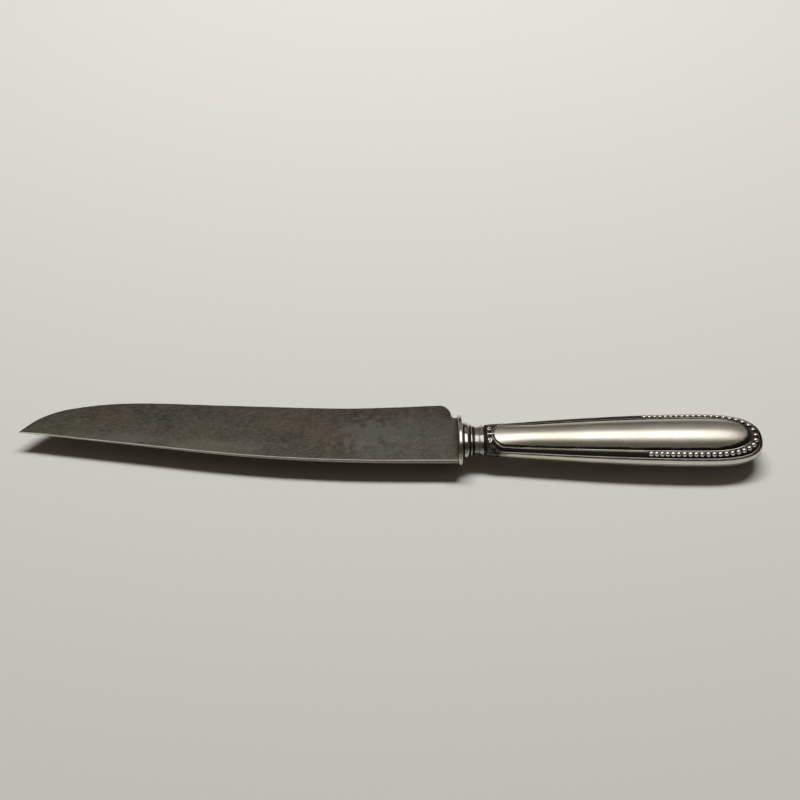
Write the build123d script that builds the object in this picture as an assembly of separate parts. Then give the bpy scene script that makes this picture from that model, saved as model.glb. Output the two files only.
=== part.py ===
from build123d import *
import os
from math import sqrt

# Silver-handled table knife, lying flat.
# X runs along the knife, the blade to -X. +Y is the side of the cutting edge. Sizes in mm.
# It is drawn about the handle's axis, with x = 0 at the guard's front face, and moved at the end.

# Blade
tip_x, tip_y = -189.9, 4.2
spine_y = -11.0  # straight part of the back
spine_straight_x, spine_arc_x = -25.0, -115.0
spine_radius = 714.0
shank_y, shank_x = 11.0, -2.0  # the short neck of steel that meets the guard
heel_x, heel_y = -7.0, 18.6
hollow_x, hollow_y = -51.2, 17.0  # worn by sharpening
belly_x, belly_y = -145.0, 19.75
half_back, half_tip, half_edge = 1.15, 0.26, 0.07  # half thicknesses
bevel_width = 7.0  # of the edge's long bevel, at the heel

# Tang
tang_length, tang_thick = 88.0, 1.9
tang_half_root, tang_half_end = 3.5, 1.7

# Guard plate
guard_half_y, guard_half_z, guard_thick = 12.1, 8.2, 1.9
guard_round = 0.8

# Ferrule, half widths of its rings in plan
ferrule_flat = 1 / 1.5  # height over width of its oval
ferrule_end, spigot_end = 11.7, 15.0
cushion_half, thin_ring_half, waist_half, last_ring_half, groove_half = 8.75, 7.9, 6.5, 7.4, 6.7
bore_half = 4.6

# Handle
neck_half, neck_slope = 7.4, 0.0826
wide_half_y, wide_half_z, wide_x = 12.65, 8.2, 104.3
butt_x = 130.5
butt_fullness = 0.75  # of the rounded end's curve
seam_thick = 0.16

# Each form of the handle is an oval: width and height as shares of the whole handle's, and inset
whole_form = (1.0, 1.0, 0.0)
dome_form = (0.8, 1.0, 0.0)  # the panel, narrower and as high
floor_form = (1.05, 0.71, 0.0)  # the channel, low and sloping
wire_form = (1.05, 0.71, -0.35)  # crests of the wires beside the channel
hollow_low, hollow_high = (1.0, 0.62, 1.25), (0.83, 1.0, 1.25)  # the inside, made of two

# Struck pattern on each half
panel_share, rim_share, bead_share = 0.68, 0.942, 0.8  # border wires and beads, of the half width
panel_start, panel_round, panel_tip = 14.8, 5.0, 124.7
channel_start = 14.4
rim_tip, bead_tip = 129.4, 126.9
wire_width = 0.7
bead_radius, bead_start, beads_per_side = 1.0, 81.1, 20
bead_lift = 0.25  # bead's centre above the channel's floor
curl_x, curl_y, curl_radius, curl_wire = 13.5, 2.7, 0.8, 0.35
bar_length, bar_half = 2.0, 0.3


def half_width(x):
    """Half width of the handle in plan, from its neck to its widest place: a cubic."""
    t = (x - ferrule_end) / (wide_x - ferrule_end)
    second = neck_half + neck_slope * (wide_x - ferrule_end) / 3
    bends = neck_half * (1 - t) ** 3 + 3 * second * t * (1 - t) ** 2
    return bends + wide_half_y * (3 * (1 - t) * t**2 + t**3)


def side(start, share=1.0, tip=butt_x, grow=0.0):
    """One side in plan, from start to the tip: a share of the handle's half width, grown outwards."""
    third = (wide_x - start) / 3
    rise = third * (half_width(start + 0.5) - half_width(start - 0.5))
    first, wide = share * half_width(start) + grow, share * wide_half_y + grow
    long_part = Bezier(
        (start, first), (start + third, first + share * rise), (wide_x - third, wide), (wide_x, wide)
    )
    end = tip + grow
    round_part = Bezier(
        (wide_x, wide),
        (wide_x + butt_fullness * (end - wide_x), wide),
        (end, butt_fullness * wide),
        (end, 0),
    )
    return [long_part, round_part]


def side_face(start, share=1.0, tip=butt_x, grow=0.0):
    lines = side(start, share, tip, grow)
    return make_face(lines + [Polyline(lines[-1] @ 1, (start, 0), lines[0] @ 0)])


def quarter_form(form=whole_form, start=ferrule_end):
    """Quarter of one of the handle's forms, above its mid-plane and on +Y."""
    width, height, inset = form
    turned = revolve(side_face(start, width, grow=-inset), axis=Axis.X, revolution_arc=90)
    flat = (height * wide_half_z - inset) / (width * wide_half_y - inset)
    return scale(turned, by=(1, 1, flat))


def quarter_hollow(start=ferrule_end):
    return quarter_form(hollow_low, start) + quarter_form(hollow_high, start)


def upright(face):
    return extrude(face, amount=2 * wide_half_z, dir=(0, 0, 1))


def panel_prism(grow):
    """Half of the panel's outline, as an upright prism, with its round end at the neck."""
    lines = side(panel_start + panel_round, panel_share, panel_tip, grow)
    first, corner = (panel_start - grow, 0), lines[0] @ 0
    reach = (panel_round + grow) / 2
    lead = corner - (lines[0] % 0) * reach
    cap = Bezier(first, (first[0], 0.6 * corner.Y), (lead.X, lead.Y), (corner.X, corner.Y))
    return upright(make_face([cap] + lines + [Line(lines[-1] @ 1, first)]))


def rim_prism(grow, start=ferrule_end - 1):
    return upright(side_face(start, rim_share, rim_tip, grow))


def surface_z(x, y, form=whole_form):
    """Height of one of the handle's forms above the mid-plane, at a place in plan."""
    width, height, inset = form
    flat = (height * wide_half_z - inset) / (width * wide_half_y - inset)
    reach = width * half_width(x) - inset
    if x > wide_x:
        round_part = side(ferrule_end, width, grow=-inset)[1]
        near = [round_part @ (i / 200) for i in range(201)]
        reach = min(near, key=lambda point: abs(point.X - x)).Y
    return flat * sqrt(max(0.0, reach**2 - y**2))


def beads():
    """Beads of the +Y side of one face, from the row's start to just before the butt's middle."""
    row = Wire(side(bead_start, bead_share, bead_tip))
    solids = []
    for i in range(beads_per_side):
        place = row @ (i / beads_per_side)
        z = surface_z(place.X, place.Y, floor_form) + bead_lift
        solids.append(Pos(place.X, place.Y, z) * Sphere(bead_radius))
    return solids


def neck_ornament():
    """Curl and half of the bar ahead of the panel, on +Y."""
    curl = Pos(curl_x, curl_y, surface_z(curl_x, curl_y)) * Torus(curl_radius, curl_wire)
    bar = Pos(curl_x, bar_half / 2, surface_z(curl_x, 0)) * Box(bar_length, bar_half, 2 * bar_half)
    return [curl, bar]


def both_sides(quarter):
    return quarter + mirror(quarter, about=Plane.XZ)


def all_round(quarter):
    half = both_sides(quarter)
    return half + mirror(half, about=Plane.XY)


def make_struck_half():
    """Upper half of the handle's sheet, with its panel, wires, channel, beads and curls."""
    before = ferrule_end - 1
    half_wire = wire_width / 2
    channel = rim_prism(-half_wire, channel_start) - panel_prism(half_wire)
    inner_wire = panel_prism(half_wire) - panel_prism(-half_wire)
    sheet = quarter_form()
    sheet -= channel - quarter_form(floor_form, before)
    sheet -= inner_wire - quarter_form(wire_form, before)
    sheet -= panel_prism(-half_wire) - quarter_form(dome_form, before)
    sheet = split(sheet, bisect_by=Plane.XY.offset(seam_thick / 2), keep=Keep.TOP)
    sheet = both_sides(sheet + beads() + neck_ornament() - quarter_hollow(before))
    last_z = surface_z(bead_tip, 0, floor_form) + bead_lift
    return sheet + (Pos(bead_tip, 0, last_z) * Sphere(bead_radius) - both_sides(quarter_hollow(before)))


def make_seam():
    """Strip of solder in the mid-plane, between the edges of the two halves."""
    ring = side_face(ferrule_end) - side_face(ferrule_end - 1, grow=-hollow_low[2])
    ring += mirror(ring, about=Plane.XZ)
    return extrude(ring, amount=seam_thick / 2, dir=(0, 0, 1), both=True)


def make_tang():
    corners = [
        (0, -tang_half_root),
        (tang_length, -tang_half_end),
        (tang_length, tang_half_end),
        (0, tang_half_root),
    ]
    return extrude(make_face(Polyline(*corners, close=True)), amount=tang_thick / 2, both=True)


def plane_through(a, b, c):
    """Plane through three points, facing up."""
    normal = (b - a).cross(c - a)
    return Plane(origin=a, z_dir=normal if normal.Z > 0 else -normal)


def blade_planes():
    """Upper flank and upper bevel. The lower ones are their mirror images."""
    heel = Vector(heel_x, heel_y, half_edge)
    belly = Vector(belly_x, belly_y, half_edge)
    flank = plane_through(Vector(0, spine_y, half_back), Vector(tip_x, tip_y, half_tip), belly)
    foot = Vector(heel_x, heel_y - bevel_width, 0)
    rise = (flank.origin - foot).dot(flank.z_dir) / flank.z_dir.Z
    return [flank, plane_through(heel, belly, foot + Vector(0, 0, rise))]


def make_blade():
    """Blade, shank and tang in one forging."""
    back = Line((0, spine_y), (spine_straight_x, spine_y))
    run = spine_straight_x - spine_arc_x
    arc_end = (spine_arc_x, spine_y + spine_radius - sqrt(spine_radius**2 - run**2))
    arc = TangentArc(back @ 1, arc_end, tangent=back % 1)
    point = Line(arc @ 1, (tip_x, tip_y))
    edge = Spline(
        (tip_x, tip_y),
        (tip_x + 7.6, 11.5),
        (tip_x + 19.6, 16.6),
        (belly_x, belly_y),
        (-100.0, 18.5),
        (hollow_x, hollow_y),
        (-24.7, 17.7),
        (heel_x, heel_y),
        tangents=[(1, 1.15), (1, 0)],
    )
    heel = Spline((heel_x, heel_y), (-3.9, 16.8), (shank_x, shank_y), tangents=[(1, 0), (0.1, -1)])
    shank = Polyline((shank_x, shank_y), (0, shank_y), (0, spine_y))
    blade = extrude(make_face([back, arc, point, edge, heel, shank]), amount=2 * half_back, both=True)
    for plane in blade_planes():
        for _ in range(2):
            blade = mirror(split(blade, bisect_by=plane, keep=Keep.BOTTOM), about=Plane.XY)
    return blade + make_tang()


def make_guard():
    plate = extrude(Ellipse(guard_half_y, guard_half_z), amount=guard_thick)
    plate = fillet(plate.edges(), guard_round)
    return Plane.YZ * plate - make_tang()


def ferrule_outline():
    """Upper side of the ferrule's section: cushion ring, thin ring, hollow waist, last ring, groove."""
    cushion_end, ring_end, waist_end, last_end = 5.2, 6.2, 10.1, 11.2
    low = cushion_half - 1.2
    cushion = Spline(
        (guard_thick, cushion_half - 0.7),
        (2.9, cushion_half),
        (cushion_end, low),
        tangents=[(0.6, 1), (0.2, -1)],
    )
    thin_ring = ThreePointArc((cushion_end, low), (5.7, thin_ring_half), (ring_end, low - 0.3))
    waist_rise = (waist_half + 0.4, waist_half + 0.2)
    waist = ThreePointArc((ring_end, waist_rise[0]), (8.1, waist_half), (waist_end, waist_rise[1]))
    last_start = (waist_end, groove_half + 0.3)
    last_ring = ThreePointArc(last_start, (10.65, last_ring_half), (last_end, groove_half))
    return [
        Line((guard_thick, 0), cushion @ 0),
        cushion,
        thin_ring,
        Line(thin_ring @ 1, waist @ 0),
        waist,
        Line(waist @ 1, last_ring @ 0),
        last_ring,
        Polyline(last_ring @ 1, (ferrule_end, groove_half), (ferrule_end, 0), (guard_thick, 0)),
    ]


def ferrule_bore():
    bore = extrude(Ellipse(bore_half, bore_half * ferrule_flat), amount=spigot_end - guard_thick)
    return Pos(guard_thick, 0, 0) * (Plane.YZ * bore)


def make_ferrule():
    """Moulded neck, with a spigot inside the shells and a bore for the tang."""
    neck = revolve(make_face(ferrule_outline()), axis=Axis.X, revolution_arc=90)
    neck = scale(neck, by=(1, 1, ferrule_flat))
    spigot = split(quarter_hollow(), bisect_by=Plane.YZ.offset(spigot_end), keep=Keep.BOTTOM)
    return all_round(neck + spigot) - ferrule_bore()


def make_core():
    """Resin that fills the shells and the ferrule round the tang."""
    body = split(quarter_hollow(), bisect_by=Plane.YZ.offset(spigot_end), keep=Keep.TOP)
    return all_round(body) + ferrule_bore() - make_tang()


upper_shell = make_struck_half()
parts = {
    "blade": make_blade(),
    "guard_plate": make_guard(),
    "ferrule": make_ferrule(),
    "handle_shell_top": upper_shell,
    "handle_shell_bottom": mirror(upper_shell, about=Plane.XY),
    "seam_solder": make_seam(),
    "cement_core": make_core(),
}

# The origin is under the middle of the whole knife, on the surface that it lies on.
box = Compound([solid for shape in parts.values() for solid in shape.solids()]).bounding_box()
home = Pos(-box.center().X, -box.center().Y, -box.min.Z)

os.makedirs("parts", exist_ok=True)
for name, shape in parts.items():
    export_step(home * shape, f"parts/{name}.step")
    print(name, "volume", round(shape.volume, 1))
print("moved by", home.position)
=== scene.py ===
import math

import bmesh
import bpy
from mathutils import Matrix, Vector, noise


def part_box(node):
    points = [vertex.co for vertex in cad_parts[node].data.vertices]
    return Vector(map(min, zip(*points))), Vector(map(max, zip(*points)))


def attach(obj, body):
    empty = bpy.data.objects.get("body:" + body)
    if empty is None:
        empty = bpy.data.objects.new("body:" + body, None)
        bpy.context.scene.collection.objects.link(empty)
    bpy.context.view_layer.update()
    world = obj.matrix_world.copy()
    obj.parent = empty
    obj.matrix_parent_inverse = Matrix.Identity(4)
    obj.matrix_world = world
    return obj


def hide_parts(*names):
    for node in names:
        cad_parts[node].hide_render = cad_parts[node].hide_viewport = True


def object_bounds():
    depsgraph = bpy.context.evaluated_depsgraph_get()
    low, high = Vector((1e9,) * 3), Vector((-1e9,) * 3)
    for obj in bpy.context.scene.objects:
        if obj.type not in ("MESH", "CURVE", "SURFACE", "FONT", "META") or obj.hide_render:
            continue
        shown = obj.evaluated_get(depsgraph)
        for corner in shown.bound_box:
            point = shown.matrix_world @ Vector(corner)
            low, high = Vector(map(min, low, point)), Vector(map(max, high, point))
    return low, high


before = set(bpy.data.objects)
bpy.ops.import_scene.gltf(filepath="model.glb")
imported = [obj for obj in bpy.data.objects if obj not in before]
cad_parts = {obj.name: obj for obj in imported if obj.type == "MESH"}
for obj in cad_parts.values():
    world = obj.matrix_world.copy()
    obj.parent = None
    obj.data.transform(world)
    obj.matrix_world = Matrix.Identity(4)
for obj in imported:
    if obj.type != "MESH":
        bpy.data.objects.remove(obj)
cadLow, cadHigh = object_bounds()
print("frame:", ", ".join(sorted(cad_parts)))

mm = 0.001
guardLow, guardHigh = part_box("guard_plate")
frontX = guardLow.x  # guard's front face
axisY = (guardLow.y + guardHigh.y) / 2
axisZ = (guardLow.z + guardHigh.z) / 2


# mm from the guard's front face and the handle's axis, as a place in the frame
def at(x, y, z):
    return Vector((frontX + x * mm, axisY + y * mm, axisZ + z * mm))


def fromAxis(corner):
    return (corner.x - frontX) / mm, (corner.y - axisY) / mm, (corner.z - axisZ) / mm


def blendStep(low, high, value):
    t = min(1.0, max(0.0, (value - low) / (high - low)))
    return t * t * (3 - 2 * t)


def mix(a, b, share):
    return a + (b - a) * share


# ---- small helpers for working in edit mode

def deselectAll():
    if bpy.context.object and bpy.context.object.mode != "OBJECT":
        bpy.ops.object.mode_set(mode="OBJECT")
    bpy.ops.object.select_all(action="DESELECT")


def startPiece(name):
    piece = bpy.context.object
    piece.name = name
    piece.data.name = name
    bpy.ops.object.mode_set(mode="EDIT")
    return piece


def pickEdges(piece, test):
    bpy.ops.mesh.select_all(action="DESELECT")
    bpy.ops.mesh.select_mode(type="EDGE")
    cage = bmesh.from_edit_mesh(piece.data)
    for edge in cage.edges:
        edge.select_set(test(edge.verts[0].co, edge.verts[1].co))
    cage.select_flush_mode()
    bmesh.update_edit_mesh(piece.data)


def pickFaces(piece, test):
    bpy.ops.mesh.select_all(action="DESELECT")
    bpy.ops.mesh.select_mode(type="FACE")
    cage = bmesh.from_edit_mesh(piece.data)
    for face in cage.faces:
        face.select_set(test(face))
    bmesh.update_edit_mesh(piece.data)


# merges doubles, turns the faces outwards, shades smooth and leaves the place in the mesh
def finishPiece(piece, angle=35, merge=0.008 * mm, outward=True):
    if piece.mode != "EDIT":
        bpy.context.view_layer.objects.active = piece
        bpy.ops.object.mode_set(mode="EDIT")
    bpy.ops.mesh.select_mode(type="VERT")
    bpy.ops.mesh.select_all(action="SELECT")
    bpy.ops.mesh.remove_doubles(threshold=merge)
    if outward:
        bpy.ops.mesh.normals_make_consistent(inside=False)
    bpy.ops.object.mode_set(mode="OBJECT")
    piece.select_set(True)
    bpy.ops.object.transform_apply(location=True, rotation=True, scale=True)
    bpy.ops.object.shade_smooth_by_angle(angle=math.radians(angle))
    deselectAll()


# a skin drawn ring by ring: each ring is extruded from the last and its points put in place
def drawRings(name, rings, closed=True):
    deselectAll()
    bpy.ops.mesh.primitive_circle_add(vertices=len(rings[0]), radius=1, fill_type="NOTHING")
    piece = startPiece(name)
    cage = bmesh.from_edit_mesh(piece.data)
    station = cage.verts.layers.int.new("station")
    cage.verts.ensure_lookup_table()
    for number, vert in enumerate(cage.verts):
        vert[station] = number
        vert.co = rings[0][number]
    if not closed:
        last = len(rings[0]) - 1
        for edge in cage.edges:
            edge.select_set({edge.verts[0][station], edge.verts[1][station]} == {0, last})
        cage.select_flush_mode()
        bmesh.update_edit_mesh(piece.data)
        bpy.ops.mesh.delete(type="EDGE")
    bpy.ops.mesh.select_mode(type="EDGE")
    bpy.ops.mesh.select_all(action="SELECT")
    for ring in rings[1:]:
        bpy.ops.mesh.extrude_region_move()
        cage = bmesh.from_edit_mesh(piece.data)
        station = cage.verts.layers.int["station"]
        for vert in cage.verts:
            if vert.select:
                vert.co = ring[vert[station]]
        bmesh.update_edit_mesh(piece.data)
    return piece


def writeMask(piece, name, values):
    layer = piece.data.attributes.new(name, "FLOAT", "POINT")
    for spot, value in zip(layer.data, values):
        spot.value = value


def useMaterial(piece, material):
    piece.data.materials.clear()
    piece.data.materials.append(material)


# ---- node helpers

def put(tree, kind, values=None, **settings):
    new = tree.nodes.new(kind)
    for key, value in settings.items():
        setattr(new, key, value)
    for key, value in (values or {}).items():
        new.inputs[key].default_value = value
    return new


def wire(tree, start, end):
    tree.links.new(start, end)


def newGroup(name, inputs, outputs):
    group = bpy.data.node_groups.new(name, "ShaderNodeTree")
    for label, kind, value in inputs:
        socket = group.interface.new_socket(label, in_out="INPUT", socket_type="NodeSocket" + kind)
        if value is not None:
            socket.default_value = value
    for label, kind in outputs:
        group.interface.new_socket(label, in_out="OUTPUT", socket_type="NodeSocket" + kind)
    return group, group.nodes.new("NodeGroupInput"), group.nodes.new("NodeGroupOutput")


def math2(tree, operation, a, b, clamp=False):
    new = put(tree, "ShaderNodeMath", operation=operation, use_clamp=clamp)
    for number, value in enumerate((a, b)):
        if hasattr(value, "is_output"):
            wire(tree, value, new.inputs[number])
        else:
            new.inputs[number].default_value = value
    return new.outputs[0]


def ramp(tree, value, low, high, toLow=0.0, toHigh=1.0):
    limits = {1: low, 2: high, 3: toLow, 4: toHigh}
    new = put(tree, "ShaderNodeMapRange", limits, interpolation_type="SMOOTHSTEP")
    wire(tree, value, new.inputs[0])
    return new.outputs[0]


def tint(tree, share, first, second):
    new = put(tree, "ShaderNodeMix", data_type="RGBA")
    for socket, value in ((new.inputs[6], first), (new.inputs[7], second)):
        if hasattr(value, "is_output"):
            wire(tree, value, socket)
        else:
            socket.default_value = (*value, 1)
    wire(tree, share, new.inputs[0])
    return new.outputs[2]


# hair scratches: long thin streaks at an angle
def buildScratchGroup():
    group, start, end = newGroup(
        "hairScratches",
        [("Vector", "Vector", None), ("Turn", "Vector", (0, 0, 0)), ("Along", "Float", 60.0),
         ("Across", "Float", 4000.0), ("Least", "Float", 0.62)],
        [("Mask", "Float")],
    )
    turned = put(group, "ShaderNodeMapping", vector_type="POINT")
    wire(group, start.outputs["Vector"], turned.inputs["Vector"])
    wire(group, start.outputs["Turn"], turned.inputs["Rotation"])
    size = put(group, "ShaderNodeCombineXYZ")
    wire(group, start.outputs["Along"], size.inputs[0])
    wire(group, start.outputs["Across"], size.inputs[1])
    wire(group, start.outputs["Across"], size.inputs[2])
    stretched = put(group, "ShaderNodeVectorMath", operation="MULTIPLY")
    wire(group, turned.outputs[0], stretched.inputs[0])
    wire(group, size.outputs[0], stretched.inputs[1])
    streaks = put(group, "ShaderNodeTexNoise", {"Scale": 1.0, "Detail": 2.0, "Roughness": 0.4})
    wire(group, stretched.outputs[0], streaks.inputs["Vector"])
    full = math2(group, "ADD", start.outputs["Least"], 0.08)
    new = put(group, "ShaderNodeMapRange")
    wire(group, streaks.outputs[0], new.inputs[0])
    wire(group, start.outputs["Least"], new.inputs[1])
    wire(group, full, new.inputs[2])
    wire(group, new.outputs[0], end.inputs["Mask"])
    return group


# clouds of patina, as broad, middle and fine masks
def buildCloudGroup():
    group, start, end = newGroup(
        "patinaClouds",
        [("Vector", "Vector", None), ("Size", "Float", 60.0), ("Grain", "Float", 1500.0)],
        [("Broad", "Float"), ("Middle", "Float"), ("Fine", "Float")],
    )
    broad = put(group, "ShaderNodeTexNoise", {"Detail": 5.0, "Roughness": 0.55, "Distortion": 0.6})
    wire(group, start.outputs["Vector"], broad.inputs["Vector"])
    wire(group, start.outputs["Size"], broad.inputs["Scale"])
    middle = put(group, "ShaderNodeTexNoise", {"Detail": 6.0, "Roughness": 0.7})
    wire(group, start.outputs["Vector"], middle.inputs["Vector"])
    wire(group, math2(group, "MULTIPLY", start.outputs["Size"], 5.3), middle.inputs["Scale"])
    fine = put(group, "ShaderNodeTexNoise", {"Detail": 3.0, "Roughness": 0.7})
    wire(group, start.outputs["Vector"], fine.inputs["Vector"])
    wire(group, start.outputs["Grain"], fine.inputs["Scale"])
    wire(group, ramp(group, broad.outputs[0], 0.35, 0.65), end.inputs["Broad"])
    wire(group, ramp(group, middle.outputs[0], 0.3, 0.7), end.inputs["Middle"])
    wire(group, fine.outputs[0], end.inputs["Fine"])
    return group


# pin-head specks, such as rust pits or dust
def buildSpeckGroup():
    group, start, end = newGroup(
        "pinSpecks",
        [("Vector", "Vector", None), ("Density", "Float", 700.0), ("Radius", "Float", 0.18),
         ("Share", "Float", 0.25)],
        [("Mask", "Float")],
    )
    cells = put(group, "ShaderNodeTexVoronoi", {"Randomness": 1.0}, feature="F1")
    wire(group, start.outputs["Vector"], cells.inputs["Vector"])
    wire(group, start.outputs["Density"], cells.inputs["Scale"])
    chance = put(group, "ShaderNodeSeparateColor")
    wire(group, cells.outputs["Color"], chance.inputs[0])
    chosen = math2(group, "LESS_THAN", chance.outputs[0], start.outputs["Share"])
    near = math2(group, "SUBTRACT", start.outputs["Radius"], cells.outputs["Distance"])
    dot = math2(group, "MULTIPLY", math2(group, "DIVIDE", near, start.outputs["Radius"], True), chosen, True)
    wire(group, dot, end.inputs["Mask"])
    return group


scratchGroup = buildScratchGroup()
cloudGroup = buildCloudGroup()
speckGroup = buildSpeckGroup()


def newMaterial(name):
    material = bpy.data.materials.new(name)
    material.use_nodes = True
    tree = material.node_tree
    tree.nodes.clear()
    shader = put(tree, "ShaderNodeBsdfPrincipled")
    end = put(tree, "ShaderNodeOutputMaterial")
    wire(tree, shader.outputs[0], end.inputs[0])
    where = put(tree, "ShaderNodeTexCoord").outputs["Object"]
    return material, tree, shader, where


def useGroup(tree, group, where, **values):
    new = put(tree, "ShaderNodeGroup", node_tree=group)
    wire(tree, where, new.inputs["Vector"])
    for key, value in values.items():
        new.inputs[key].default_value = value
    return new


def bumpFrom(tree, shader, heights):
    previous = None
    for height, distance, strength in heights:
        new = put(tree, "ShaderNodeBump", {"Strength": strength, "Distance": distance})
        wire(tree, height, new.inputs["Height"])
        if previous:
            wire(tree, previous, new.inputs["Normal"])
        previous = new.outputs[0]
    wire(tree, previous, shader.inputs["Normal"])


# ---- blade

blade = {
    "edge": [(7.6, 11.5), (19.6, 16.6), (44.9, 19.75), (89.9, 18.5), (138.7, 17.0), (165.2, 17.7),
             (182.9, 18.58)],  # mm from the tip, and beyond the handle's axis
    "heelCorner": [(184.6, 18.06), (185.5, 17.45), (186.3, 16.27), (187.2, 14.5), (187.9, 11.6)],
    "shank": 11.0,
    "backStraight": -25.0,
    "backArc": -115.0,
    "backRadius": 714.0,
    "halfHeel": 1.15,
    "halfPoint": 0.2,
    "halfEdge": 0.07,
    "hollowness": 1.9,  # how late the grind falls away
    "crown": 0.24,  # of the rounded back
    "stations": 190,
    "columns": 20,
    "crownCuts": 6,
    "besideCrown": [0.006, 0.016],  # extra cuts, as shares of the flank
    "tang": (88.0, 3.5, 1.7, 0.95),
    # place, reach and raggedness of each patch, how strong it is and its colour
    "patches": [
        ((-176, 7, 22, 12), 0.6, (0.072, 0.07, 0.046)),
        ((-150, 12, 13, 8), 0.75, (0.075, 0.052, 0.036)),
        ((-70, 9, 16, 8), 0.75, (0.09, 0.062, 0.045)),
        ((-54, 2, 13, 7), 0.8, (0.085, 0.06, 0.044)),
        ((-38, 11, 22, 7), 0.6, (0.045, 0.04, 0.032)),
        ((-37, 3, 17, 9, 1.3), 0.5, (0.19, 0.185, 0.165)),
        ((-16, 4, 20, 15, 0.4), 0.6, (0.115, 0.108, 0.1)),
        ((-33, -7, 14, 5), 0.5, (0.1, 0.102, 0.1)),
        ((-106, -4, 30, 5, 0.8), 0.5, (0.14, 0.135, 0.112)),
        ((-148, 1, 24, 4, 0.8), 0.6, (0.12, 0.118, 0.1)),
    ],
}


def backLine(x):
    low = fromAxis(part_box("blade")[0])[1]
    if x > blade["backStraight"]:
        return low
    run = blade["backStraight"] - max(x, blade["backArc"])
    radius = blade["backRadius"]
    y = low + radius - math.sqrt(radius**2 - run**2)
    if x < blade["backArc"]:
        slope = run / math.sqrt(radius**2 - run**2)
        y += slope * (blade["backArc"] - x)
    return y


# smooth curve through a few points: a cubic between each two, with slopes from their neighbours
def throughPoints(points, x):
    for number in range(len(points) - 1):
        (x0, y0), (x1, y1) = points[number], points[number + 1]
        if x <= x1 or number == len(points) - 2:
            break
    before = points[max(0, number - 1)]
    after = points[min(len(points) - 1, number + 2)]
    slope0 = (y1 - before[1]) / (x1 - before[0])
    slope1 = (after[1] - y0) / (after[0] - x0)
    span = x1 - x0
    t = min(1.0, max(0.0, (x - x0) / span))
    return (
        y0 * (1 + 2 * t) * (1 - t) ** 2
        + slope0 * span * t * (1 - t) ** 2
        + y1 * t * t * (3 - 2 * t)
        + slope1 * span * t * t * (t - 1)
    )


# one cross-section: round the back, out along the upper flank to the edge and home along the lower one
def bladeRing(x, outline, tipX):
    back, edge = backLine(x), throughPoints(outline, x)
    edge -= 0.05 * (1 + noise.noise(Vector((x * 0.9, 3, 0)))) * blendStep(-4, -9, x)
    edge = max(edge, back + 0.05)
    half = mix(blade["halfPoint"], blade["halfHeel"], (1 - x / tipX) ** 0.85)
    thinnest = min(half, mix(blade["halfEdge"], half, blendStep(-5.0, -1.5, x)))
    crown = min(blade["crown"] * half / blade["halfHeel"], 0.4 * (edge - back))
    upper = []
    for step in range(blade["crownCuts"] + 1):
        turn = math.pi / 2 * step / blade["crownCuts"]
        upper.append((back + crown * (1 - math.sin(turn)), half * math.sin(turn) ** 0.8))
    spread = [step / blade["columns"] for step in range(1, blade["columns"] + 1)]
    # closest together beside the crown and at the edge
    for share in blade["besideCrown"] + [mix(t, 1 - (1 - t) ** 2, 0.5) for t in spread]:
        upper.append((mix(back + crown, edge, share), mix(half, thinnest, share ** blade["hollowness"])))
    lower = [(y, -z) for y, z in upper[:0:-1]]
    return [at(x, y, z) for y, z in upper + lower]


def closeEnds():
    bpy.ops.mesh.select_all(action="DESELECT")
    bpy.ops.mesh.select_mode(type="EDGE")
    bpy.ops.mesh.select_non_manifold()
    bpy.ops.mesh.edge_face_add()


def makeBlade():
    tipX = fromAxis(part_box("blade")[0])[0]
    outline = [(tipX, backLine(tipX))]
    outline += [(tipX + x, y) for x, y in blade["edge"] + blade["heelCorner"]]
    outline.append((0.0, blade["shank"]))
    length, halfRoot, halfEnd, halfThick = blade["tang"]
    first = bladeRing(0, outline, tipX)
    rings = []
    for x, half in ((length, halfEnd), (0.0, halfRoot)):
        low, high = at(x, -half, -halfThick), at(x, half, halfThick)
        tangRing = []
        for place in first:
            y, z = min(high.y, max(low.y, place.y)), min(high.z, max(low.z, place.z))
            tangRing.append(Vector((low.x, y, z)))
        rings.append(tangRing)
    rings.append(first)
    for step in range(1, blade["stations"] + 1):
        share = step / blade["stations"]
        share = mix(share, 0.5 - 0.5 * math.cos(math.pi * share), 0.6)  # closer together at both ends
        rings.append(bladeRing(share * tipX, outline, tipX))
    piece = drawRings("bladeSteel", rings)
    closeEnds()
    finishPiece(piece, angle=40)
    return piece


# one soft-edged patch of patina at a place, its border broken up by noise
def buildPatchGroup():
    group, start, end = newGroup(
        "softPatch",
        [("Vector", "Vector", None), ("Place", "Vector", (0, 0, 0)), ("Reach", "Vector", (1, 1, 1)),
         ("Ragged", "Float", 0.5)],
        [("Mask", "Float")],
    )
    away = put(group, "ShaderNodeVectorMath", operation="SUBTRACT")
    wire(group, start.outputs["Vector"], away.inputs[0])
    wire(group, start.outputs["Place"], away.inputs[1])
    scaled = put(group, "ShaderNodeVectorMath", operation="DIVIDE")
    wire(group, away.outputs[0], scaled.inputs[0])
    wire(group, start.outputs["Reach"], scaled.inputs[1])
    length = put(group, "ShaderNodeVectorMath", operation="LENGTH")
    wire(group, scaled.outputs[0], length.inputs[0])
    breakup = put(group, "ShaderNodeTexNoise", {"Scale": 210.0, "Detail": 6.0, "Roughness": 0.62})
    wire(group, start.outputs["Vector"], breakup.inputs["Vector"])
    centred = math2(group, "SUBTRACT", breakup.outputs[0], 0.5)
    pushed = math2(group, "MULTIPLY", centred, math2(group, "MULTIPLY", start.outputs["Ragged"], 3.0))
    reach = math2(group, "ADD", length.outputs["Value"], pushed)
    wire(group, ramp(group, reach, 1.15, 0.25), end.inputs["Mask"])
    return group


patchGroup = buildPatchGroup()


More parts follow.
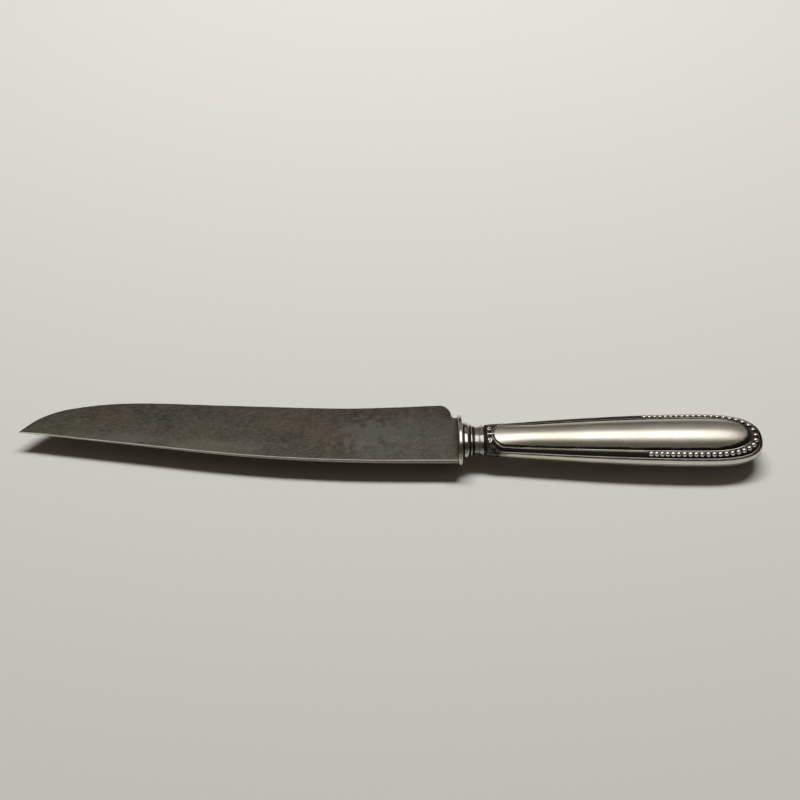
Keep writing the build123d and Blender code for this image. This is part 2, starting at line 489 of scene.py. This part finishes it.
def steelPatch(tree, where, x, y, reachX, reachY, ragged=0.5):
    place, reach = at(x, y, 0), Vector((reachX * mm, reachY * mm, 1))
    return useGroup(tree, patchGroup, where, Place=place, Reach=reach, Ragged=ragged).outputs["Mask"]


def bladeMaterial():
    material, tree, shader, where = newMaterial("oldCarbonSteel")
    clouds = useGroup(tree, cloudGroup, where, Size=34.0, Grain=2600.0)
    drift = put(tree, "ShaderNodeMapping", {"Location": (0.13, 0.41, 0.2), "Scale": (0.55, 1.4, 1.0)})
    wire(tree, where, drift.inputs["Vector"])
    stains = useGroup(tree, cloudGroup, drift.outputs[0], Size=60.0, Grain=900.0)
    steel = tint(tree, clouds.outputs["Broad"], (0.03, 0.028, 0.019), (0.072, 0.068, 0.05))
    steel = tint(tree, math2(tree, "MULTIPLY", stains.outputs["Broad"], 0.6), steel, (0.075, 0.053, 0.038))
    for spot, strength, colour in blade["patches"]:
        mask = math2(tree, "MULTIPLY", steelPatch(tree, where, *spot), strength)
        steel = tint(tree, mask, steel, colour)
    steel = tint(tree, math2(tree, "MULTIPLY", clouds.outputs["Middle"], 0.32), steel, (0.135, 0.13, 0.112))
    mottled = math2(tree, "MULTIPLY", ramp(tree, stains.outputs["Fine"], 0.42, 0.62), 0.42)
    steel = tint(tree, mottled, steel, (0.15, 0.142, 0.122))
    pits = useGroup(tree, speckGroup, where, Density=900.0, Radius=0.3, Share=0.16)
    steel = tint(tree, math2(tree, "MULTIPLY", pits.outputs[0], 0.7), steel, (0.018, 0.012, 0.008))
    speckled = steelPatch(tree, where, -17, 1, 16, 13, 0.3)
    bright = useGroup(tree, speckGroup, where, Density=1500.0, Radius=0.42, Share=0.3)
    gathered = math2(tree, "ADD", math2(tree, "MULTIPLY", speckled, 0.85), 0.08)
    both = math2(tree, "MULTIPLY", bright.outputs[0], gathered)
    steel = tint(tree, both, steel, (0.27, 0.28, 0.285))
    grainwise = useGroup(tree, scratchGroup, where, Turn=(0, 0, 0.12), Along=45.0, Across=5200.0, Least=0.56)
    slanting = useGroup(tree, scratchGroup, where, Turn=(0, 0, -0.5), Along=70.0, Across=3600.0, Least=0.64)
    crossing = useGroup(tree, scratchGroup, where, Turn=(0, 0, 1.1), Along=110.0, Across=3000.0, Least=0.69)
    lines = math2(tree, "MAXIMUM", slanting.outputs[0], crossing.outputs[0])
    steel = tint(tree, math2(tree, "MULTIPLY", lines, 0.4), steel, (0.2, 0.19, 0.165))
    steel = tint(tree, math2(tree, "MULTIPLY", grainwise.outputs[0], 0.22), steel, (0.15, 0.142, 0.12))
    # the back is painted brighter: wear along it, and a painted highlight on its upper corner
    wornAndHighlight = put(tree, "ShaderNodeAttribute", attribute_name="wornAndHighlight").outputs["Fac"]
    steel = tint(tree, wornAndHighlight, steel, (0.9, 0.86, 0.78))
    wire(tree, steel, shader.inputs["Base Color"])
    shader.inputs["Metallic"].default_value = 0.86
    rough = math2(tree, "ADD", math2(tree, "MULTIPLY", clouds.outputs["Middle"], 0.12), 0.3)
    rough = math2(tree, "ADD", rough, math2(tree, "MULTIPLY", stains.outputs["Fine"], 0.14))
    rough = math2(tree, "SUBTRACT", rough, math2(tree, "MULTIPLY", wornAndHighlight, 0.12))
    wire(tree, rough, shader.inputs["Roughness"])
    bumpFrom(tree, shader, [
        (stains.outputs["Broad"], 0.05 * mm, 0.35),
        (clouds.outputs["Fine"], 0.006 * mm, 0.6),
        (grainwise.outputs[0], 0.004 * mm, 0.5),
        (lines, 0.006 * mm, 0.6),
        (pits.outputs[0], -0.02 * mm, 0.6),
    ])
    return material


# bright along the back where it is worn, with a painted highlight that makes it brightest on its upper corner
def markBladeWearAndHighlight(piece):
    tipX = fromAxis(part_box("blade")[0])[0]
    values = []
    for vert in piece.data.vertices:
        x, y, z = fromAxis(vert.co)
        if x > 0.2:
            values.append(0.0)
            continue
        fromBack = y - backLine(min(0, x))
        ragged = 0.5 + 0.5 * noise.noise(Vector((x * 0.25, 8.0, z)))
        # painted highlight: the upper corner is made brighter than the lower one
        upperHighlight = blendStep(-0.3, 0.9, z / max(0.2, blade["halfHeel"] * (1 - x / tipX) ** 0.85))
        values.append(blendStep(0.36, 0.08, fromBack) * mix(0.7, 1.0, ragged) * mix(0.3, 1.0, upperHighlight))
    writeMask(piece, "wornAndHighlight", values)


print("blade")
bladePiece = makeBlade()
markBladeWearAndHighlight(bladePiece)
useMaterial(bladePiece, bladeMaterial())
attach(bladePiece, "root")
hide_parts("blade")


# ---- guard plate

guard = {"sides": 144, "rim": 0.72, "rimSegments": 7, "dishInset": 2.1, "dishDepth": 0.22}


def makeGuard():
    thick = guardHigh.x - guardLow.x
    wide, high = (guardHigh.y - guardLow.y) / 2, (guardHigh.z - guardLow.z) / 2
    deselectAll()
    bpy.ops.mesh.primitive_cylinder_add(
        vertices=guard["sides"], radius=1, depth=1, end_fill_type="NGON", rotation=(0, math.pi / 2, 0)
    )
    bpy.ops.object.transform_apply(location=True, rotation=True, scale=True)
    piece = startPiece("guardPlate")
    bpy.ops.mesh.select_all(action="SELECT")
    bpy.ops.transform.resize(value=(thick, wide, high), center_override=(0, 0, 0))
    centre = (guardLow + guardHigh) / 2
    bpy.ops.transform.translate(value=centre)
    pickEdges(piece, lambda a, b: abs(a.x - b.x) < 1e-6)
    bpy.ops.mesh.bevel(offset=guard["rim"] * mm, segments=guard["rimSegments"], profile=0.5, affect="EDGES")
    for side in (-1, 1):
        pickFaces(piece, lambda face: len(face.verts) > 20 and face.normal.x * side > 0.9)
        bpy.ops.mesh.inset(thickness=guard["dishInset"] * mm)
        bpy.ops.mesh.inset(thickness=0.35 * mm, depth=-guard["dishDepth"] * mm)
    finishPiece(piece, angle=40)
    return piece


print("guard")
guardPiece = makeGuard()


# ---- ferrule

ferrule = {
    "flat": 1 / 1.5,
    "sides": 112,
    # rings from the guard back: where each starts and ends, its foot and how far it stands out
    "mouldings": [
        (1.9, 2.2, 7.3, 0.0, 2),
        (2.2, 5.0, 7.6, 1.25, 14),
        (5.0, 5.35, 7.0, 0.0, 2),
        (5.35, 6.15, 7.1, 0.6, 8),
        (6.15, 10.0, 6.9, -0.42, 16),
        (10.0, 11.05, 6.75, 0.62, 8),
        (11.05, 11.75, 6.55, 0.0, 2),
    ],
    "lean": 0.6,  # how much the cushion ring falls towards the handle
}


def ferruleProfile():
    stations = []
    for first, last, foot, proud, steps in ferrule["mouldings"]:
        for step in range(steps + 1):
            share = step / steps
            lean = ferrule["lean"] * share if proud > 1 else 0.0
            bulge = proud * math.sqrt(max(0.0, 1 - (2 * share - 1) ** 2)) if proud > 0 else 0.0
            bulge += proud * math.sin(math.pi * share) if proud < 0 else 0.0
            stations.append((mix(first, last, share), foot + bulge - lean))
    return stations


def makeFerrule():
    sides = ferrule["sides"]
    rings = []
    for x, half in [(1.9, 3.0)] + ferruleProfile() + [(11.75, 3.0)]:
        turns = [2 * math.pi * number / sides for number in range(sides)]
        rings.append([at(x, half * math.cos(t), half * ferrule["flat"] * math.sin(t)) for t in turns])
    piece = drawRings("neckFerrule", rings)
    closeEnds()
    finishPiece(piece, angle=38)
    return piece


# dark in the grooves, under the rings and round the waist, clean on the crests
def markFerrule(piece):
    crest = ferruleProfile()
    values = []
    for vert in piece.data.vertices:
        x, y, z = fromAxis(vert.co)
        half = math.hypot(y, z / ferrule["flat"])
        near = max(r for place, r in crest if abs(place - x) < 1.3)
        waist = 0.55 * blendStep(6.1, 6.6, x) * blendStep(10.2, 9.6, x)
        values.append(max(waist, blendStep(0.15, 1.0, near - half)))
    writeMask(piece, "tarnishAndShadeMask", values)


print("ferrule")
ferrulePiece = makeFerrule()
markFerrule(ferrulePiece)


# ---- handle shells

handle = {
    "neck": 7.4, "neckSlope": 0.0826,
    "wideAt": 104.3, "wide": 12.65, "high": 8.2,
    "start": 11.7, "butt": 130.5, "fullness": 2.7, "panelFullness": 2.1,
    "dome": 0.8, "floorWide": 1.05, "floorHigh": 0.71,
    "panel": 0.665, "panelStart": 14.8, "panelRound": 5.0, "panelTip": 124.7,
    "rim": 0.948, "rimTip": 129.4,
    "innerWire": (0.694, 0.36, 0.32),  # share, height and half width in plan
    "outerWire": (0.92, 0.17, 0.19),
    "innerGroove": (0.662, -0.32, 0.24),
    "outerGroove": (0.942, -0.16, 0.2),
    "seamGap": 0.06,
    "sheet": 0.5,
    "neckSteps": 62, "longSteps": 52, "buttSteps": 46,
}


def halfWidth(x):
    wideAt, wide, start = handle["wideAt"], handle["wide"], handle["start"]
    if x >= wideAt:
        gone = min(1.0, (x - wideAt) / (handle["butt"] - wideAt))
        return wide * (1 - gone ** handle["fullness"]) ** (1 / handle["fullness"])
    t = (x - start) / (wideAt - start)
    second = handle["neck"] + handle["neckSlope"] * (wideAt - start) / 3
    return handle["neck"] * (1 - t) ** 3 + 3 * second * t * (1 - t) ** 2 + wide * (3 * (1 - t) * t * t + t**3)


# how full the curve of a line is where it rounds the butt
def fullnessAt(share):
    return mix(handle["panelFullness"], handle["fullness"], blendStep(0.5, 0.95, share))


# where the line at a share of the half width closes at the butt
def tipOf(share):
    stops = [(0.0, handle["wideAt"]), (handle["panel"], handle["panelTip"]),
             (handle["rim"], handle["rimTip"]), (1.0, handle["butt"])]
    for (low, lowTip), (high, highTip) in zip(stops, stops[1:]):
        if share <= high:
            return mix(lowTip, highTip, (share - low) / (high - low))
    return handle["butt"]


# plan points of one line of the pattern, from the neck on -Y round the butt to the neck on +Y
def planLine(share):
    power = 2 / fullnessAt(share)
    wideAt, start = handle["wideAt"], handle["start"]
    long = []
    neckEnd = handle["panelStart"] + handle["panelRound"] + 0.6
    for first, last, steps in ((start, neckEnd, handle["neckSteps"]), (neckEnd, wideAt, handle["longSteps"])):
        for step in range(steps):
            x = mix(first, last, step / steps)
            long.append((x, share * halfWidth(x), share))
    butt = []
    for step in range(handle["buttSteps"]):
        turn = math.pi / 2 * step / handle["buttSteps"]
        x = wideAt + (tipOf(share) - wideAt) * math.sin(turn) ** power
        butt.append((x, share * handle["wide"] * math.cos(turn) ** power, share))
    side = long + butt
    far = [(x, -y, s) for x, y, s in side]
    return far + [(tipOf(share), 0.0, share)] + side[::-1]


# height of the struck sheet above the mid-plane
def sheetHeight(x, y, share):
    reach = halfWidth(x)
    flat = handle["high"] / handle["wide"]
    whole = flat * math.sqrt(max(0.0, reach**2 - y**2))
    level = share
    roundEnd = handle["panelStart"] + handle["panelRound"]
    if x < roundEnd:
        level = math.hypot(share, handle["panel"] * (roundEnd - x) / handle["panelRound"])
    grown = blendStep(14.0, 34.0, x)
    dome = flat * math.sqrt(max(0.0, reach**2 - (y / handle["dome"]) ** 2))
    dome = mix(whole, dome, grown)
    low = handle["floorHigh"] * flat * math.sqrt(max(0.0, reach**2 - (y / handle["floorWide"]) ** 2))
    low = mix(whole - 0.42 * blendStep(12.0, 14.0, x), low, grown)
    if share < handle["rim"]:
        edge = 0.018
        outside = blendStep(handle["panel"] - edge, handle["panel"] + edge, level)
        base = mix(dome, low, outside)
        base = mix(base, whole, blendStep(handle["rim"] - 0.012, handle["rim"], share))
    else:
        base = whole
    wires = 0.0
    lines = [(handle[name], level if name.startswith("inner") else share)
             for name in ("innerWire", "innerGroove", "outerWire", "outerGroove")]
    for (centre, height, half), where in lines:
        off = abs(where - centre) * reach / half
        if off < 1:
            wires += height * math.sqrt(1 - off * off)
    if x < handle["panelStart"] - 0.8:
        wires *= blendStep(handle["panelStart"] - 2.2, handle["panelStart"] - 0.8, x)
    return base + wires, level


def shareLevels():
    levels = [math.cos(math.radians(17) * step / 9) for step in range(9)]
    for first, last, steps in ((0.956, 0.89, 20), (0.89, 0.728, 7), (0.728, 0.635, 24), (0.635, 0.0, 24)):
        levels += [mix(first, last, step / steps) for step in range(steps)]
    return levels + [0.0]


def makeShell():
    rings = []
    for share in shareLevels():
        ring = []
        for x, y, s in planLine(share):
            ring.append(at(x, y, max(sheetHeight(x, y, s)[0], handle["seamGap"])))
        rings.append(ring)
    piece = drawRings("handleSheetTop", rings, closed=False)
    finishPiece(piece, angle=60, merge=0.004 * mm)
    return piece


# where tarnish lies, where shade is painted and where wires are rubbed, as shares of the half width or mm
# along the handle
handleWearAndShade = {
    "footFrom": (0.5, 0.64), "footTo": (0.685, 0.672),
    "channelFrom": (0.714, 0.735), "channelTo": (0.91, 0.895),
    "groove": 0.942, "innerCrest": 0.699, "outerCrest": 0.921,
    "collar": (12.9, 12.0), "crestStart": (13.6, 15.0),
    "neck": (25.0, 15.0), "neckShadeFrom": (0.7, 0.74),
}


def markShell(piece):
    values, rubbed = [], []
    for vert in piece.data.vertices:
        x, y = fromAxis(vert.co)[:2]
        reach = max(0.5, halfWidth(min(x, handle["butt"] - 0.2)))
        share = min(1.0, abs(y) / reach)
        if x > handle["wideAt"]:
            share = buttShare(x, abs(y))
        level = sheetHeight(min(x, handle["butt"] - 0.01), y, share)[1]
        # painted shade down the panel's flank, deepening into tarnish in its foot
        foot = blendStep(*handleWearAndShade["footFrom"], level) * blendStep(*handleWearAndShade["footTo"], level)
        channel = blendStep(*handleWearAndShade["channelFrom"], level) * blendStep(*handleWearAndShade["channelTo"], level)
        groove = 0.95 * blendStep(0.022, 0.008, abs(share - handleWearAndShade["groove"]))
        collar = blendStep(*handleWearAndShade["collar"], x)
        # painted shade on the side band by the neck
        neck = 0.86 * blendStep(*handleWearAndShade["neck"], x) * blendStep(*handleWearAndShade["neckShadeFrom"], level)
        values.append(min(1.0, max(foot, channel, groove, collar, neck)))
        inner = blendStep(0.034, 0.012, abs(level - handleWearAndShade["innerCrest"]))
        outer = blendStep(0.024, 0.01, abs(share - handleWearAndShade["outerCrest"]))
        rubbed.append(max(inner * blendStep(*handleWearAndShade["crestStart"], x), 0.2 * outer))
    writeMask(piece, "tarnishAndShadeMask", values)
    writeMask(piece, "rubbed", rubbed)


# the share of the pattern's line that passes through a place at the butt
def buttShare(x, y):
    low, high = 0.0, 1.0
    for _ in range(26):
        share = (low + high) / 2
        power = fullnessAt(share)
        gone = (x - handle["wideAt"]) / max(0.01, tipOf(share) - handle["wideAt"])
        reach = share * handle["wide"] * (1 - min(1.0, gone) ** power) ** (1 / power) if gone < 1 else -1
        if reach < y:
            low = share
        else:
            high = share
    return share


print("handle shells")
shellTop = makeShell()
markShell(shellTop)


def mirrorPiece(piece, name):
    deselectAll()
    piece.select_set(True)
    bpy.context.view_layer.objects.active = piece
    bpy.ops.object.duplicate()
    copy = startPiece(name)
    bpy.ops.mesh.select_all(action="SELECT")
    bpy.ops.transform.resize(value=(1, 1, -1), center_override=at(0, 0, 0))
    bpy.ops.mesh.flip_normals()
    bpy.ops.object.mode_set(mode="OBJECT")
    deselectAll()
    return copy


def thicken(piece, thickness):
    deselectAll()
    bpy.context.view_layer.objects.active = piece
    piece.select_set(True)
    wall = piece.modifiers.new("sheet", "SOLIDIFY")
    wall.thickness = thickness
    wall.offset = -1
    bpy.ops.object.modifier_apply(modifier=wall.name)
    deselectAll()


# ---- beads

beads = {
    "radius": 1.1, "flatness": 0.76, "cut": -0.4,
    "start": 80.9, "share": 0.785, "tip": 126.7, "fullness": 2.5,
    "perSide": 20, "lift": 0.2,
    "segments": 20, "rings": 12,
    "cuts": 400,  # of the row's line, to space the beads along it
}


# evenly spaced places along the row, from its start on -Y round the butt to its start on +Y
def beadPlaces():
    power, cuts = 2 / beads["fullness"], beads["cuts"]
    points = []
    for step in range(cuts + 1):
        x = mix(beads["start"], handle["wideAt"], step / cuts)
        points.append((x, beads["share"] * halfWidth(x)))
    for step in range(1, cuts + 1):
        turn = math.pi / 2 * step / cuts
        x = handle["wideAt"] + (beads["tip"] - handle["wideAt"]) * math.sin(turn) ** power
        points.append((x, beads["share"] * handle["wide"] * math.cos(turn) ** power))
    travelled = [0.0]
    for first, second in zip(points, points[1:]):
        travelled.append(travelled[-1] + math.dist(first, second))
    side, place = [], 0
    for number in range(beads["perSide"]):
        share = number / beads["perSide"]
        # a little wider apart towards the butt
        goal = travelled[-1] * (share * 0.88 + 0.12 * share * share)
        while travelled[place] < goal:
            place += 1
        side.append(points[place])
    return [(x, -y) for x, y in side] + [points[-1]] + side[::-1]


def makeBeads():
    deselectAll()
    bpy.ops.mesh.primitive_uv_sphere_add(
        segments=beads["segments"], ring_count=beads["rings"], radius=beads["radius"] * mm
    )
    first = startPiece("beadRowTop")
    bpy.ops.mesh.select_all(action="SELECT")
    bpy.ops.transform.resize(value=(1, 1, beads["flatness"]), center_override=(0, 0, 0))
    bpy.ops.mesh.bisect(
        plane_co=(0, 0, beads["cut"] * mm), plane_no=(0, 0, 1), clear_inner=True, use_fill=True
    )
    bpy.ops.object.mode_set(mode="OBJECT")
    # tarnish round each bead's foot, and painted shade over its lower half
    heights = [vert.co.z / (beads["flatness"] * beads["radius"] * mm) for vert in first.data.vertices]
    writeMask(first, "tarnishAndShadeMask", [1.15 * blendStep(0.62, 0.05, height) for height in heights])
    copies = []
    for x, y in beadPlaces():
        share = buttShare(x, abs(y)) if x > handle["wideAt"] else abs(y) / halfWidth(x)
        z = sheetHeight(x, y, share)[0] + beads["lift"]
        copy = first.copy()
        copy.data = first.data.copy()
        bpy.context.collection.objects.link(copy)
        tilt = Vector((0, y, 0)).normalized() * 0.6 + Vector((0, 0, 1))
        turn = Vector((0, 0, 1)).rotation_difference(tilt)
        copy.data.transform(Matrix.Translation(at(x, y, z)) @ turn.to_matrix().to_4x4())
        copies.append(copy)
    bpy.data.objects.remove(first)
    deselectAll()
    for copy in copies:
        copy.select_set(True)
    bpy.context.view_layer.objects.active = copies[0]
    bpy.ops.object.join()
    piece = bpy.context.object
    piece.name = "beadRowTop"
    finishPiece(piece, angle=50)
    return piece


print("beads")
beadsTop = makeBeads()


# ---- scrolls and bar at the neck

scroll = {"at": (13.4, 2.8), "radius": 1.0, "wire": 0.42, "turns": 1.1, "bar": (12.3, 15.5, 0.42)}


def tubeAlong(name, path, radii, sides=12):
    rings = []
    for number, place in enumerate(path):
        before, after = path[max(0, number - 1)], path[min(len(path) - 1, number + 1)]
        along = (after - before).normalized()
        across = along.cross(Vector((0, 0, 1))).normalized()
        up = across.cross(along)
        turns = [2 * math.pi * side / sides for side in range(sides)]
        rings.append([place + radii[number] * (across * math.cos(t) + up * math.sin(t)) for t in turns])
    piece = drawRings(name, rings)
    closeEnds()
    finishPiece(piece, angle=50)
    return piece


def makeNeckScrolls():
    tubes = []
    middleX, middleY = scroll["at"]
    for side in (-1, 1):
        path, radii = [], []
        steps = 30
        for step in range(steps + 1):
            share = step / steps
            turn = math.pi * (0.62 - 2 * scroll["turns"] * share)
            reach = scroll["radius"] * (1 - 0.72 * share)
            x = middleX + reach * math.cos(turn)
            y = middleY + reach * math.sin(turn)
            z = sheetHeight(x, y, y / halfWidth(x))[0] + 0.22
            path.append(at(x, side * y, z + 0.15 * share))
            radii.append(mm * scroll["wire"] * mix(0.75, 1.1, share))
        tubes.append(tubeAlong("scroll", path, radii))
    first, last, thick = scroll["bar"]
    path, radii = [], []
    for step in range(9):
        x = mix(first, last, step / 8)
        path.append(at(x, 0, sheetHeight(x, 0, 0)[0] + 0.2))
        radii.append(mm * thick * (0.6 + 0.4 * math.sin(math.pi * step / 8)))
    tubes.append(tubeAlong("bar", path, radii))
    for tube in tubes:
        tube.select_set(True)
    bpy.context.view_layer.objects.active = tubes[0]
    bpy.ops.object.join()
    piece = bpy.context.object
    piece.name = "neckScrollsTop"
    writeMask(piece, "tarnishAndShadeMask", [0.15] * len(piece.data.vertices))
    deselectAll()
    return piece


print("neck scrolls")
scrollsTop = makeNeckScrolls()


# ---- silver

def silverMaterial(name, polish, tarnishAndShade, brushed, colour=(0.74, 0.72, 0.66)):
    material, tree, shader, where = newMaterial(name)
    clouds = useGroup(tree, cloudGroup, where, Size=45.0, Grain=1800.0)
    long = useGroup(tree, scratchGroup, where, Turn=(0, 0, 0.0), Along=25.0, Across=6000.0, Least=0.5)
    slant = useGroup(tree, scratchGroup, where, Turn=(0, 0, 0.35), Along=70.0, Across=3800.0, Least=0.66)
    specks = useGroup(tree, speckGroup, where, Density=600.0, Radius=0.22, Share=0.1)
    tarnishAndShadeMask = put(tree, "ShaderNodeAttribute", attribute_name="tarnishAndShadeMask").outputs["Fac"]
    warm = (colour[0] * 0.86, colour[1] * 0.8, colour[2] * 0.7)
    metal = tint(tree, math2(tree, "MULTIPLY", clouds.outputs["Broad"], 0.5), colour, warm)
    metal = tint(tree, math2(tree, "MULTIPLY", specks.outputs[0], 0.5), metal, (0.22, 0.18, 0.13))
    # tarnish in the hollows, and painted shade where the mask also holds it, darken the silver towards
    # near-black
    ragged = math2(tree, "ADD", tarnishAndShadeMask, math2(tree, "MULTIPLY", clouds.outputs["Middle"], 0.25))
    dark = ramp(tree, ragged, 0.45, 1.05, 0.0, tarnishAndShade)
    metal = tint(tree, dark, metal, (0.014, 0.01, 0.006))
    wire(tree, metal, shader.inputs["Base Color"])
    wire(tree, math2(tree, "SUBTRACT", 1.0, math2(tree, "MULTIPLY", dark, 0.35)), shader.inputs["Metallic"])
    rough = math2(tree, "ADD", math2(tree, "MULTIPLY", clouds.outputs["Middle"], 0.06), polish)
    rough = math2(tree, "ADD", rough, math2(tree, "MULTIPLY", dark, 0.22))
    rough = math2(tree, "ADD", rough, math2(tree, "MULTIPLY", slant.outputs[0], 0.08))
    rubbed = put(tree, "ShaderNodeAttribute", attribute_name="rubbed").outputs["Fac"]
    rough = math2(tree, "SUBTRACT", rough, math2(tree, "MULTIPLY", rubbed, 0.17))
    wire(tree, rough, shader.inputs["Roughness"])
    bumpFrom(tree, shader, [
        (clouds.outputs["Middle"], 0.02 * mm, 0.12),
        (long.outputs[0], 0.003 * mm, brushed),
        (slant.outputs[0], 0.004 * mm, 0.35),
        (specks.outputs[0], -0.01 * mm, 0.4),
    ])
    return material


def plainMaterial(name, dark, light, metallic, roughness):
    material, tree, shader, where = newMaterial(name)
    clouds = useGroup(tree, cloudGroup, where, Size=120.0, Grain=2500.0)
    wire(tree, tint(tree, clouds.outputs["Broad"], dark, light), shader.inputs["Base Color"])
    shader.inputs["Metallic"].default_value = metallic
    wire(tree, math2(tree, "ADD", math2(tree, "MULTIPLY", clouds.outputs["Middle"], 0.15), roughness),
         shader.inputs["Roughness"])
    bumpFrom(tree, shader, [(clouds.outputs["Fine"], 0.01 * mm, 0.5)])
    return material


print("finishes")
handleSilver = silverMaterial("handleSilver", 0.31, 1.0, 0.5)
beadSilver = silverMaterial("beadSilver", 0.14, 1.0, 0.2, (0.93, 0.91, 0.87))
neckSilver = silverMaterial("neckSilver", 0.09, 1.0, 0.2, (0.6, 0.6, 0.585))
guardSilver = silverMaterial("guardSilver", 0.16, 0.95, 0.3, (0.64, 0.615, 0.56))


# the guard is darkened over its faces and left clean round its rim
def markGuard(piece):
    wide, high = (guardHigh.y - guardLow.y) / 2, (guardHigh.z - guardLow.z) / 2
    values = []
    for vert in piece.data.vertices:
        reach = math.hypot((vert.co.y - axisY) / wide, (vert.co.z - axisZ) / high)
        values.append(0.85 * blendStep(0.97, 0.9, reach))
    writeMask(piece, "tarnishAndShadeMask", values)


markGuard(guardPiece)
useMaterial(guardPiece, guardSilver)
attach(guardPiece, "root")
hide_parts("guard_plate")

useMaterial(ferrulePiece, neckSilver)
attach(ferrulePiece, "root")
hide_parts("ferrule")

shellBottom = mirrorPiece(shellTop, "handleSheetBottom")
beadsBottom = mirrorPiece(beadsTop, "beadRowBottom")
scrollsBottom = mirrorPiece(scrollsTop, "neckScrollsBottom")
for piece in (shellTop, shellBottom):
    thicken(piece, handle["sheet"] * mm)
for piece in (shellTop, shellBottom, beadsTop, beadsBottom, scrollsTop, scrollsBottom):
    useMaterial(piece, handleSilver if piece in (shellTop, shellBottom) else beadSilver)
    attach(piece, "root")
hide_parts("handle_shell_top")
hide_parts("handle_shell_bottom")

solder = plainMaterial("seamSolder", (0.2, 0.18, 0.15), (0.5, 0.47, 0.4), 0.9, 0.3)
resin = plainMaterial("darkResin", (0.03, 0.018, 0.01), (0.08, 0.05, 0.03), 0.0, 0.5)
useMaterial(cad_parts["seam_solder"], solder)
useMaterial(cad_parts["cement_core"], resin)


# ---- floor, light and camera

stage = {"size": 4.0, "paper": (0.62, 0.616, 0.604), "fibre": (0.385, 0.37, 0.34)}


def floorMaterial():
    material, tree, shader, where = newMaterial("palePaper")
    clouds = useGroup(tree, cloudGroup, where, Size=14.0, Grain=900.0)
    fibre = math2(tree, "MULTIPLY", clouds.outputs["Fine"], 0.16)
    wire(tree, tint(tree, fibre, stage["paper"], stage["fibre"]), shader.inputs["Base Color"])
    shader.inputs["Roughness"].default_value = 0.85
    shader.inputs["Specular IOR Level"].default_value = 0.2
    bumpFrom(tree, shader, [(clouds.outputs["Fine"], 0.05 * mm, 0.4)])
    return material


def makeFloor():
    deselectAll()
    bpy.ops.mesh.primitive_plane_add(size=stage["size"], location=(0, 0, cadLow.z))
    floor = startPiece("floorSheet")
    finishPiece(floor)
    useMaterial(floor, floorMaterial())


# one sheet overhead for the reflections, and a strip behind that draws the shadow
sheetLight = {"height": 1.0, "near": -0.1, "far": 0.58, "left": -0.75, "right": 0.75, "watts": 6.6}
stripLight = {"distance": 1.3, "up": 60.0, "tall": 0.2, "wide": 1.1, "watts": 20.8}
# dim upright cards, seen only in reflections: how far behind the knife, lowest, highest, width, watts
dimCards = [("backCard", 1.1, 0.5, 1.3, 3.0, 1.3), ("frontCard", -1.8, 0.15, 1.2, 4.0, 2.6)]


def addLight(name, sizeX, sizeY, watts, location, turn):
    data = bpy.data.lights.new(name, "AREA")
    data.shape = "RECTANGLE"
    data.size = sizeX
    data.size_y = sizeY
    data.energy = watts
    data.color = (1.0, 0.985, 0.95)
    lamp = bpy.data.objects.new(name, data)
    lamp.location = location
    lamp.rotation_euler = (turn, 0, 0)
    bpy.context.collection.objects.link(lamp)
    return lamp


def makeLights():
    left, right, near, far = (sheetLight[side] for side in ("left", "right", "near", "far"))
    place = ((left + right) / 2, (near + far) / 2, sheetLight["height"])
    sheet = addLight("sheetLight", right - left, far - near, sheetLight["watts"], place, 0)
    sheet.visible_diffuse = False
    rise = math.radians(stripLight["up"])
    place = (0, stripLight["distance"] * math.cos(rise), stripLight["distance"] * math.sin(rise))
    turn = -(math.pi / 2 - rise)
    strip = addLight("stripLight", stripLight["wide"], stripLight["tall"], stripLight["watts"], place, turn)
    strip.visible_glossy = False
    for name, back, low, high, wide, watts in dimCards:
        turn = math.copysign(math.pi / 2, -back)
        card = addLight(name, wide, high - low, watts, (0, back, (low + high) / 2), turn)
        card.visible_diffuse = False
    world = bpy.data.worlds.new("dimRoom")
    world.use_nodes = True
    world.node_tree.nodes["Background"].inputs[0].default_value = (0.062, 0.049, 0.033, 1)
    bpy.context.scene.world = world


view = {"besideGuard": -24.7, "back": 219.4, "above": 319.3, "down": 52.94, "lens": 40.5, "sensor": 36.0}


def makeCamera():
    data = bpy.data.cameras.new("camera")
    data.lens = view["lens"]
    data.sensor_width = view["sensor"]
    data.clip_start = 0.01
    camera = bpy.data.objects.new("camera", data)
    camera.location = at(view["besideGuard"], -view["back"], view["above"])
    camera.rotation_euler = (math.radians(90 - view["down"]), 0, 0)
    bpy.context.collection.objects.link(camera)
    bpy.context.scene.camera = camera


print("floor, light and camera")
makeFloor()
makeLights()
makeCamera()
bpy.context.scene.view_settings.view_transform = "Standard"
